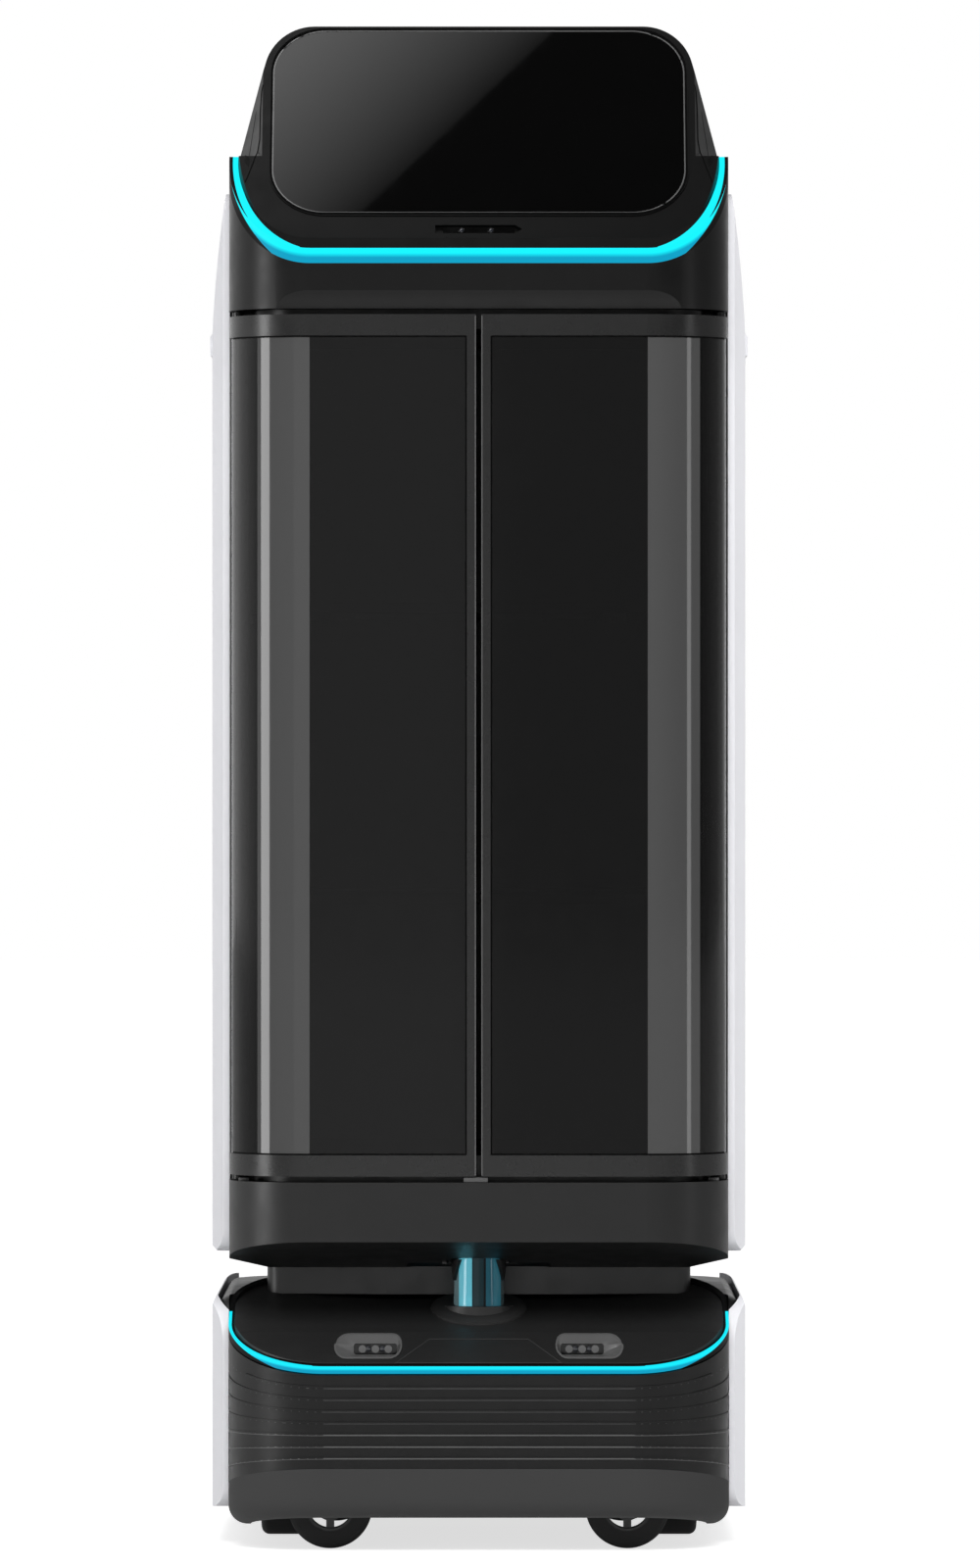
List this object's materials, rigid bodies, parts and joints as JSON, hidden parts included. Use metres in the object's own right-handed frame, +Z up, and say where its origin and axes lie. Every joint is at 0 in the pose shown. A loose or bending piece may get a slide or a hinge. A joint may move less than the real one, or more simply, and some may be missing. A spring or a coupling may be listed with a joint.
{
  "type": "indoor delivery robot",
  "caption": "Upright indoor delivery robot: low wheeled chassis with a light strip and lidar, tall glass-doored cabin with shelves, and a tilted screen on top.",
  "frame": {"origin": "on the floor, under the middle of the robot's plan", "axes": "+Z up, the robot faces -Y, +X is to the right when looking at its front"},
  "size_m": [0.485, 0.5, 1.361],
  "materials": {
    "band_grey": "satin",
    "battery_case": "matt",
    "black_plastic": "satin",
    "bumper_rubber": "matt",
    "cabin_lining": "satin",
    "contact_metal": "polished",
    "door_frame": "anodised satin",
    "fork_steel": "coated",
    "gloss_black": "gloss",
    "hub_metal": "cast satin",
    "lidar_tint": "tinted gloss",
    "light_strip": "lit diffuser",
    "rim_white": "satin",
    "screen_glass": "high gloss",
    "smoked_glass": "smoked gloss",
    "steel_plate": "brushed",
    "stop_red": "gloss",
    "tyre_rubber": "matt",
    "white_cover": "satin"
  },
  "bodies": {
    "robot": {"battery_pack": "battery_case", "bumper_skirt": "bumper_rubber", "cabin_back": "cabin_lining", "cabin_wall_left": "cabin_lining", "cabin_wall_right": "cabin_lining", "camera_pod_left": "gloss_black", "camera_pod_right": "gloss_black", "charge_contacts": "contact_metal", "chassis_shell": "black_plastic", "deck_cover": "gloss_black", "drive_bracket_left": "steel_plate", "drive_bracket_right": "steel_plate", "emergency_stop": "stop_red", "face_camera": "gloss_black", "frame_plate": "steel_plate", "head": "black_plastic", "lidar_window": "lidar_tint", "lower_housing": "black_plastic", "lower_light_strip": "light_strip", "neck": "black_plastic", "pan_posts": "black_plastic", "power_switch": "gloss_black", "rear_panel": "black_plastic", "screen_glass": "screen_glass", "shelf_lower": "cabin_lining", "shelf_upper": "cabin_lining", "side_cover_left": "white_cover", "side_cover_right": "white_cover", "under_pan": "black_plastic", "upper_housing": "black_plastic", "upper_light_strip": "light_strip", "wheel_cover_left": "white_cover", "wheel_cover_right": "white_cover"},
    "caster_front_left": {"caster_fork_front_left": "fork_steel"},
    "caster_front_right": {"caster_fork_front_right": "fork_steel"},
    "caster_rear_left": {"caster_fork_rear_left": "fork_steel"},
    "caster_rear_right": {"caster_fork_rear_right": "fork_steel"},
    "caster_wheel_front_left": {"caster_rim_front_left": "rim_white", "caster_tyre_front_left": "tyre_rubber"},
    "caster_wheel_front_right": {"caster_rim_front_right": "rim_white", "caster_tyre_front_right": "tyre_rubber"},
    "caster_wheel_rear_left": {"caster_rim_rear_left": "rim_white", "caster_tyre_rear_left": "tyre_rubber"},
    "caster_wheel_rear_right": {"caster_rim_rear_right": "rim_white", "caster_tyre_rear_right": "tyre_rubber"},
    "door_left": {"door_band_left": "band_grey", "door_frame_left": "door_frame", "door_glass_left": "smoked_glass"},
    "door_right": {"door_band_right": "band_grey", "door_frame_right": "door_frame", "door_glass_right": "smoked_glass"},
    "drive_wheel_left": {"drive_hub_left": "hub_metal", "drive_tyre_left": "tyre_rubber"},
    "drive_wheel_right": {"drive_hub_right": "hub_metal", "drive_tyre_right": "tyre_rubber"}
  },
  "joints": [
    {"name": "door_left_hinge", "type": "hinge", "parent": "robot", "child": "door_left", "pos_m": [0.2143, -0.168, 0.7], "axis": [0, 0, 1], "range_deg": [0, 105]},
    {"name": "door_right_hinge", "type": "hinge", "parent": "robot", "child": "door_right", "pos_m": [-0.2143, -0.168, 0.7], "axis": [0, 0, 1], "range_deg": [-105, 0]},
    {"name": "drive_wheel_left_spin", "type": "hinge", "parent": "robot", "child": "drive_wheel_left", "pos_m": [0.175, 0, 0.084], "axis": [1, 0, 0], "continuous": true},
    {"name": "drive_wheel_right_spin", "type": "hinge", "parent": "robot", "child": "drive_wheel_right", "pos_m": [-0.175, 0, 0.084], "axis": [1, 0, 0], "continuous": true},
    {"name": "caster_front_left_swivel", "type": "hinge", "parent": "robot", "child": "caster_front_left", "pos_m": [0.1164, -0.17, 0.09], "axis": [0, 0, 1], "continuous": true},
    {"name": "caster_front_left_spin", "type": "hinge", "parent": "caster_front_left", "child": "caster_wheel_front_left", "pos_m": [0.1324, -0.17, 0.0375], "axis": [0, 1, 0], "continuous": true},
    {"name": "caster_front_right_swivel", "type": "hinge", "parent": "robot", "child": "caster_front_right", "pos_m": [-0.1164, -0.17, 0.09], "axis": [0, 0, 1], "continuous": true},
    {"name": "caster_front_right_spin", "type": "hinge", "parent": "caster_front_right", "child": "caster_wheel_front_right", "pos_m": [-0.1324, -0.17, 0.0375], "axis": [0, 1, 0], "continuous": true},
    {"name": "caster_rear_left_swivel", "type": "hinge", "parent": "robot", "child": "caster_rear_left", "pos_m": [0.1164, 0.17, 0.09], "axis": [0, 0, 1], "continuous": true},
    {"name": "caster_rear_left_spin", "type": "hinge", "parent": "caster_rear_left", "child": "caster_wheel_rear_left", "pos_m": [0.1324, 0.17, 0.0375], "axis": [0, 1, 0], "continuous": true},
    {"name": "caster_rear_right_swivel", "type": "hinge", "parent": "robot", "child": "caster_rear_right", "pos_m": [-0.1164, 0.17, 0.09], "axis": [0, 0, 1], "continuous": true},
    {"name": "caster_rear_right_spin", "type": "hinge", "parent": "caster_rear_right", "child": "caster_wheel_rear_right", "pos_m": [-0.1324, 0.17, 0.0375], "axis": [0, 1, 0], "continuous": true}
  ]
}
